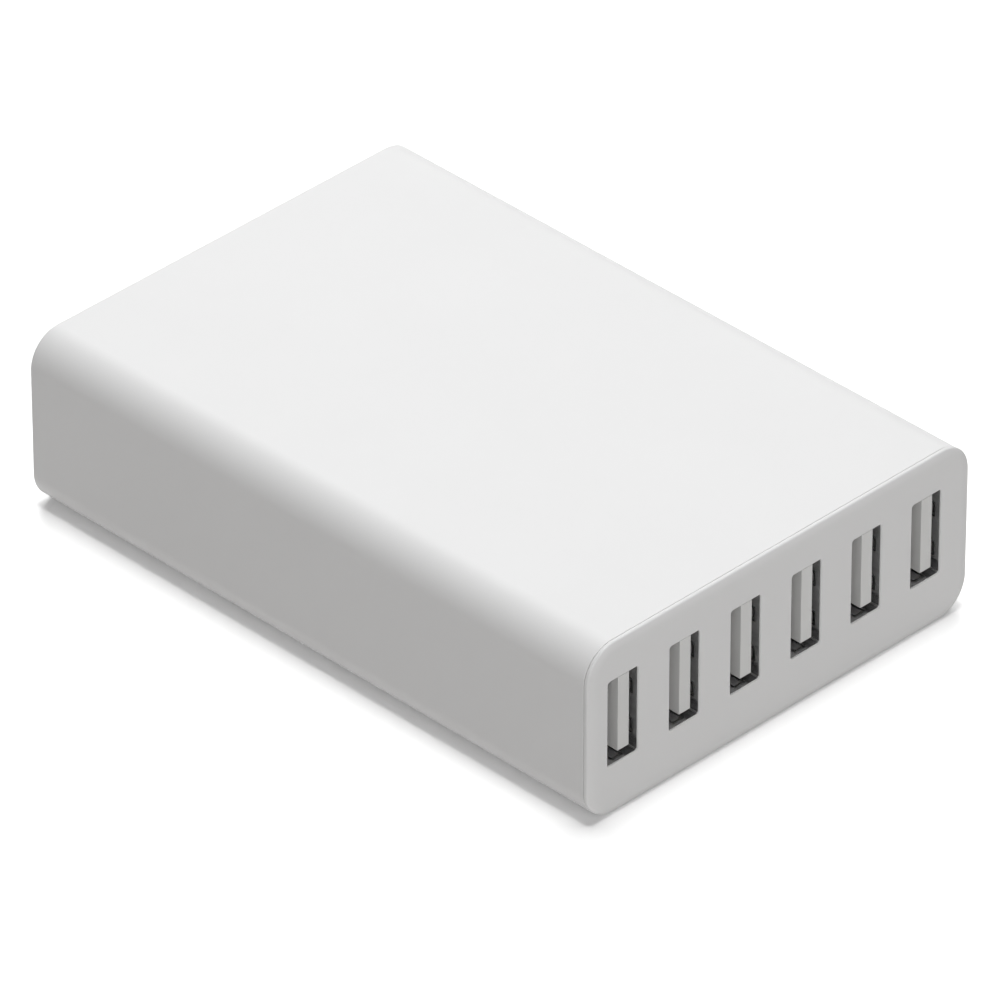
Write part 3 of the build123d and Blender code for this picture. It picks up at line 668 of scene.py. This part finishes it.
# Mains inlet: block behind the rear wall with a stadium collar and a figure-eight recess, and two prongs
def make_inlet():
    low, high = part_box("inlet_body")
    wall_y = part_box("housing")[1].y - SLEEVE_REAR_WALL
    inlet = block("inlet_collar", low, (high.x, wall_y, high.z))
    half_width = INLET_HALF_PITCH + INLET_LOBE + INLET_SKIN
    half_height = INLET_LOBE + INLET_SKIN
    collar = rounded_block(
        "collar",
        (-half_width, wall_y - COLLAR_SINK, INLET_LEVEL - half_height),
        (half_width, high.y, INLET_LEVEL + half_height),
        1, half_height - STADIUM_FLAT, STADIUM_STEPS,
    )
    shape(collar)
    round_edges(lies_at(1, high.y), INLET_EDGE, 3)
    clear_bench()
    weld(inlet, collar)
    floor_y = high.y - INLET_DEPTH
    prong_places = (-INLET_HALF_PITCH, INLET_HALF_PITCH)
    lobes = [
        rod("lobe", (x, floor_y, INLET_LEVEL), INLET_LOBE, INLET_DEPTH + BEYOND)
        for x in prong_places
    ]
    waist = block(
        "waist",
        (-INLET_HALF_PITCH, floor_y, INLET_LEVEL - INLET_HALF_WAIST),
        (INLET_HALF_PITCH, high.y + BEYOND, INLET_LEVEL + INLET_HALF_WAIST),
    )
    half = PRONG_SHANK + SHANK_PLAY
    shanks = [
        block(
            "shank",
            (x - half, low.y - BEYOND, INLET_LEVEL - half),
            (x + half, floor_y + BEYOND, INLET_LEVEL + half),
        )
        for x in prong_places
    ]
    cut(inlet, *lobes, waist, *shanks)
    shape(inlet)
    round_edges(lies_at(1, high.y, borders_wall), INLET_EDGE, 3)
    even_shading(inlet)
    settle(inlet, "inlet_body")

    for n, x in enumerate(prong_places, 1):
        tail_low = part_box(f"inlet_pin_{n}")[0]
        prong = rod(f"inlet_prong_{n}", (x, floor_y, INLET_LEVEL), PRONG_RADIUS, PRONG_REACH, 48)
        shape(prong)
        round_edges(lies_at(1, floor_y + PRONG_REACH), PRONG_ROUND, 6)
        clear_bench()
        shank = block(
            "shank",
            (x - PRONG_SHANK, tail_low.y, INLET_LEVEL - PRONG_SHANK),
            (x + PRONG_SHANK, floor_y + SHANK_SINK, INLET_LEVEL + PRONG_SHANK),
        )
        tail = block(
            "tail",
            (x - TAIL_HALF_WIDTH, tail_low.y, tail_low.z),
            (x + TAIL_HALF_WIDTH, tail_low.y + TAIL_THICKNESS, INLET_LEVEL),
        )
        weld(prong, shank, tail)
        even_shading(prong)
        settle(prong, f"inlet_pin_{n}")


# Rubber pads under the housing
def make_pads():
    for n in PADS:
        low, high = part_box(f"foot_{n}")
        pad = rounded_block(f"rubber_pad_{n}", low, high, 2, PAD_CORNER, 8)
        shape(pad)
        round_edges(lies_at(2, low.z), PAD_EDGE, 3)
        even_shading(pad)
        settle(pad, f"foot_{n}")


# Finishes
MOULD_SPREAD = 0.05
METAL_SPREAD = 0.08
METAL_LINE_DEPTH = 0.005 * MM
TURN_DEPTH = 0.05 * MM
TURN_STRENGTH = 0.5
TURN_WANDER = 0.4


def new_finish(name):
    """An empty material, its tree, its shader and Object coordinates."""
    finish = bpy.data.materials.new(name)
    finish.use_nodes = True
    tree = finish.node_tree
    place = tree.nodes.new("ShaderNodeTexCoord")
    return finish, tree, tree.nodes["Principled BSDF"], place.outputs["Object"]


def speckle(tree, place, scale, detail=3.0, stretch=(1, 1, 1)):
    """Noise on the piece's own coordinates; stretch below 1 draws it out along that axis."""
    mapping = tree.nodes.new("ShaderNodeMapping")
    mapping.inputs["Scale"].default_value = stretch
    noise = tree.nodes.new("ShaderNodeTexNoise")
    noise.inputs["Scale"].default_value = scale
    noise.inputs["Detail"].default_value = detail
    tree.links.new(place, mapping.inputs["Vector"])
    tree.links.new(mapping.outputs["Vector"], noise.inputs["Vector"])
    return noise.outputs["Fac"]


def shades(tree, factor, dark, light, low=0.35, high=0.65):
    """Runs a factor between two colours."""
    ramp = tree.nodes.new("ShaderNodeValToRGB")
    ramp.color_ramp.elements[0].position = low
    ramp.color_ramp.elements[0].color = (*dark, 1)
    ramp.color_ramp.elements[1].position = high
    ramp.color_ramp.elements[1].color = (*light, 1)
    tree.links.new(factor, ramp.inputs["Fac"])
    return ramp.outputs["Color"]


def span(tree, factor, low, high):
    """Runs a factor between two numbers."""
    node = tree.nodes.new("ShaderNodeMapRange")
    node.inputs["To Min"].default_value = low
    node.inputs["To Max"].default_value = high
    tree.links.new(factor, node.inputs["Value"])
    return node.outputs["Result"]


def relief(tree, shader, height, depth, strength):
    """Fine relief in the surface."""
    bump = tree.nodes.new("ShaderNodeBump")
    bump.inputs["Distance"].default_value = depth
    bump.inputs["Strength"].default_value = strength
    tree.links.new(height, bump.inputs["Height"])
    tree.links.new(bump.outputs["Normal"], shader.inputs["Normal"])


def moulded(
    name, dark, light, roughness,
    grain=4000, depth=0.01 * MM, strength=0.15, clouds=60, gloss=0.5,
):
    """Moulded plastic: faint clouds in the colour, eroded-mould grain in gloss and relief."""
    finish, tree, shader, place = new_finish(name)
    tree.links.new(shades(tree, speckle(tree, place, clouds), dark, light), shader.inputs["Base Color"])
    fine = speckle(tree, place, grain, 2.0)
    grained = span(tree, fine, roughness - MOULD_SPREAD, roughness + MOULD_SPREAD)
    tree.links.new(grained, shader.inputs["Roughness"])
    relief(tree, shader, fine, depth, strength)
    shader.inputs["Specular IOR Level"].default_value = gloss
    return finish


def drawn_metal(name, dark, light, roughness, stretch, grain=1500, strength=0.2):
    """Rolled or drawn metal: fine lines along one axis in colour, gloss and relief."""
    finish, tree, shader, place = new_finish(name)
    lines = speckle(tree, place, grain, 4.0, stretch)
    tree.links.new(shades(tree, lines, dark, light), shader.inputs["Base Color"])
    gloss = span(tree, lines, roughness - METAL_SPREAD, roughness + METAL_SPREAD)
    tree.links.new(gloss, shader.inputs["Roughness"])
    relief(tree, shader, lines, METAL_LINE_DEPTH, strength)
    shader.inputs["Metallic"].default_value = 1.0
    return finish


def wound(name, dark, light, roughness, turns, direction, metallic=0.0):
    """Wire or tape in turns side by side."""
    finish, tree, shader, place = new_finish(name)
    wave = tree.nodes.new("ShaderNodeTexWave")
    wave.bands_direction = direction
    wave.inputs["Scale"].default_value = turns
    wave.inputs["Distortion"].default_value = TURN_WANDER
    tree.links.new(place, wave.inputs["Vector"])
    tree.links.new(shades(tree, wave.outputs["Fac"], dark, light, 0.1, 0.9), shader.inputs["Base Color"])
    shader.inputs["Roughness"].default_value = roughness
    shader.inputs["Metallic"].default_value = metallic
    relief(tree, shader, wave.outputs["Fac"], TURN_DEPTH, TURN_STRENGTH)
    return finish


FINISHES = {
    "white_plastic": moulded("white_housing", (0.776, 0.776, 0.776), (0.784, 0.784, 0.784), 0.5, gloss=0.35),
    "socket_steel": drawn_metal("rolled_steel", (0.52, 0.52, 0.525), (0.58, 0.58, 0.585), 0.24, (1, 0.08, 1)),
    "socket_plastic": moulded("tongue_plastic", (0.70, 0.70, 0.69), (0.72, 0.72, 0.71), 0.5),
    "contact_metal": drawn_metal("gilt_strip", (0.72, 0.52, 0.22), (0.85, 0.65, 0.32), 0.25, (1, 0.1, 1)),
    "circuit_board": moulded(
        "board_lacquer", (0.02, 0.12, 0.05), (0.04, 0.18, 0.08), 0.4, 900, 0.02 * MM, 0.3, 300
    ),
    "black_plastic": moulded("black_moulding", (0.018, 0.018, 0.019), (0.03, 0.03, 0.031), 0.5),
    "pin_metal": drawn_metal("plated_pin", (0.60, 0.58, 0.54), (0.74, 0.72, 0.67), 0.22, (1, 0.1, 1)),
    "rubber": moulded("grey_rubber", (0.36, 0.36, 0.36), (0.42, 0.42, 0.42), 0.85, 2500, 0.03 * MM, 0.4),
    "yellow_plastic": moulded("film_case", (0.62, 0.38, 0.03), (0.70, 0.45, 0.05), 0.45),
    "blue_plastic": moulded("safety_case", (0.02, 0.08, 0.26), (0.03, 0.11, 0.33), 0.45),
    "ferrite": moulded("ferrite", (0.03, 0.03, 0.032), (0.06, 0.06, 0.063), 0.7, 3000, 0.03 * MM, 0.5, 400),
    "copper": wound("enamelled_wire", (0.35, 0.10, 0.03), (0.75, 0.32, 0.12), 0.3, 500, "Z", 0.9),
    "tape": wound("tape_wrap", (0.62, 0.48, 0.05), (0.72, 0.58, 0.08), 0.35, 60, "Y"),
    "bobbin_plastic": moulded("bobbin", (0.03, 0.03, 0.03), (0.05, 0.05, 0.05), 0.55),
    "aluminium": drawn_metal("rolled_aluminium", (0.62, 0.62, 0.63), (0.76, 0.76, 0.77), 0.35, (1, 0.06, 1)),
    "capacitor_sleeve": moulded(
        "shrink_sleeve", (0.02, 0.02, 0.03), (0.035, 0.035, 0.05), 0.25, 1200, 0.01 * MM, 0.2
    ),
    "sheet": moulded("insulation", (0.03, 0.03, 0.03), (0.05, 0.05, 0.05), 0.4),
}


def paint():
    """Gives every node and piece the finish of its slot."""
    slot_of_node = {part["node"]: part["material_slot"] for part in frame["record"]["subparts"]}
    for name, node in frame["nodes"].items():
        node.data.materials.clear()
        node.data.materials.append(FINISHES[slot_of_node[name]])
    pieces = (
        ("sleeve", "white_plastic"),
        ("front_plate", "white_plastic"),
        ("inlet_collar", "black_plastic"),
        *[(f"socket_shell_{n}", "socket_steel") for n in PORTS],
        *[(f"socket_tongue_{n}", "socket_plastic") for n in PORTS],
        *[(f"socket_strips_{n}", "contact_metal") for n in PORTS],
        *[(f"inlet_prong_{n}", "pin_metal") for n in (1, 2)],
        *[(f"rubber_pad_{n}", "rubber") for n in PADS],
    )
    for name, slot in pieces:
        piece = bpy.data.objects[name]
        piece.data.materials.clear()
        piece.data.materials.append(FINISHES[slot])


# Studio: a white paper floor on a light table, a white surround that lights nothing, and soft lamps
FLOOR_SIZE = 6.0
FLOOR_LEVEL = 0.28 * MM
FLOOR_COLOUR = (1.4, 1.4, 1.4, 1)
TABLE_GLOW = (1.0, 0.98, 0.96, 1)
TABLE_LEVEL = 0.57
TABLE_UNDER = 0.03
TABLE_FADE = (-0.5 * MM, 1.5 * MM)
LAMPS = {
    # Tilt from upright and azimuth from +X in degrees, width in metres, power in watts
    "overhead": (0.0, 0.0, 0.5, 11.6),
    "key": (40.0, 50.0, 0.8, 7.3),
    "rear": (65.0, 45.0, 0.8, 3.5),
    "fill": (66.0, 239.0, 2.0, 11.2),
    "under": (180.0, 0.0, 1.5, 7.0),
}
LAMP_DISTANCE = 1.5


def seen_ray(tree):
    """1 for rays that show the set itself: from the camera, in reflections and through clear parts."""
    path = tree.nodes.new("ShaderNodeLightPath")
    seen = path.outputs["Is Camera Ray"]
    for kind in ("Is Glossy Ray", "Is Transmission Ray"):
        seen = math_node(tree, "MAXIMUM", seen, path.outputs[kind])
    return seen


def blend(tree, factor, first, second):
    """One shader where the factor is 0, another where it is 1."""
    mix = tree.nodes.new("ShaderNodeMixShader")
    tree.links.new(factor, mix.inputs["Fac"])
    tree.links.new(first, mix.inputs[1])
    tree.links.new(second, mix.inputs[2])
    return mix.outputs["Shader"]


def math_node(tree, operation, first, second=None):
    """Arithmetic on one or two sockets; a plain number is set on its socket."""
    node = tree.nodes.new("ShaderNodeMath")
    node.operation = operation
    for value, socket in zip((first, second), node.inputs):
        if isinstance(value, float):
            socket.default_value = value
        elif value is not None:
            tree.links.new(value, socket)
    return node.outputs[0]


def beside(tree, place, corner):
    """The table's full level beside the charger's footprint, and little of it under the charger."""
    split = tree.nodes.new("ShaderNodeSeparateXYZ")
    tree.links.new(place, split.inputs["Vector"])
    out_x = math_node(tree, "SUBTRACT", math_node(tree, "ABSOLUTE", split.outputs["X"]), corner.x)
    out_y = math_node(tree, "SUBTRACT", math_node(tree, "ABSOLUTE", split.outputs["Y"]), corner.y)
    edge = tree.nodes.new("ShaderNodeMapRange")
    edge.inputs["From Min"].default_value, edge.inputs["From Max"].default_value = TABLE_FADE
    edge.inputs["To Min"].default_value = TABLE_UNDER
    edge.inputs["To Max"].default_value = TABLE_LEVEL
    tree.links.new(math_node(tree, "MAXIMUM", out_x, out_y), edge.inputs["Value"])
    return edge.outputs["Result"]


def make_floor():
    clear_bench()
    bpy.ops.mesh.primitive_plane_add(size=FLOOR_SIZE, location=(0, 0, FLOOR_LEVEL))
    floor = bpy.context.object
    floor.name = "floor"
    finish, tree, shader, place = new_finish("floor_paper")
    tree.nodes.remove(shader)
    paper = tree.nodes.new("ShaderNodeBsdfDiffuse")
    path = tree.nodes.new("ShaderNodeLightPath")
    paper.inputs["Color"].default_value = FLOOR_COLOUR
    glow = tree.nodes.new("ShaderNodeEmission")
    glow.inputs["Color"].default_value = TABLE_GLOW
    tree.links.new(beside(tree, place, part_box("housing")[1]), glow.inputs["Strength"])
    clear = tree.nodes.new("ShaderNodeBsdfTransparent")
    below = tree.nodes.new("ShaderNodeNewGeometry")
    upper = blend(tree, seen_ray(tree), glow.outputs["Emission"], paper.outputs["BSDF"])
    open_ray = math_node(tree, "MAXIMUM", below.outputs["Backfacing"], path.outputs["Is Shadow Ray"])
    whole = blend(tree, open_ray, upper, clear.outputs["BSDF"])
    tree.links.new(whole, tree.nodes["Material Output"].inputs["Surface"])
    floor.data.materials.append(finish)


def make_sky():
    world = bpy.data.worlds.new("surround")
    bpy.context.scene.world = world
    world.use_nodes = True
    tree = world.node_tree
    sky = tree.nodes["Background"]
    sky.inputs["Color"].default_value = (1, 1, 1, 1)
    tree.links.new(seen_ray(tree), sky.inputs["Strength"])


def make_lamps():
    for name, (tilt, azimuth, width, power) in LAMPS.items():
        data = bpy.data.lights.new(name, "AREA")
        data.shape = "DISK"
        data.size = width
        data.energy = power
        lamp = bpy.data.objects.new(name, data)
        turn = Euler((0, math.radians(tilt), math.radians(azimuth)))
        lamp.location = turn.to_matrix() @ Vector((0, 0, LAMP_DISTANCE))
        lamp.rotation_euler = turn
        bpy.context.scene.collection.objects.link(lamp)


CAMERA_AIM = Vector((0.00286, 0.00242, 0.00610))
CAMERA_BACK = Vector((-0.58325, -0.58325, 0.56536))
CAMERA_DISTANCE = 1.5162
CAMERA_LENS = 432.5
CAMERA_SENSOR = 36
CAMERA_RANGE = (0.05, 20)


def make_camera():
    data = bpy.data.cameras.new("camera")
    data.sensor_width = CAMERA_SENSOR
    data.lens = CAMERA_LENS
    data.clip_start, data.clip_end = CAMERA_RANGE
    camera = bpy.data.objects.new("camera", data)
    camera.location = CAMERA_AIM + CAMERA_DISTANCE * CAMERA_BACK
    camera.rotation_euler = (-CAMERA_BACK).to_track_quat("-Z", "Y").to_euler()
    bpy.context.scene.collection.objects.link(camera)
    bpy.context.scene.camera = camera


make_sleeve()
make_front_plate()
make_sockets()
make_inlet()
make_pads()
paint()
make_floor()
make_sky()
make_lamps()
make_camera()
bpy.context.scene.view_settings.view_transform = "Standard"
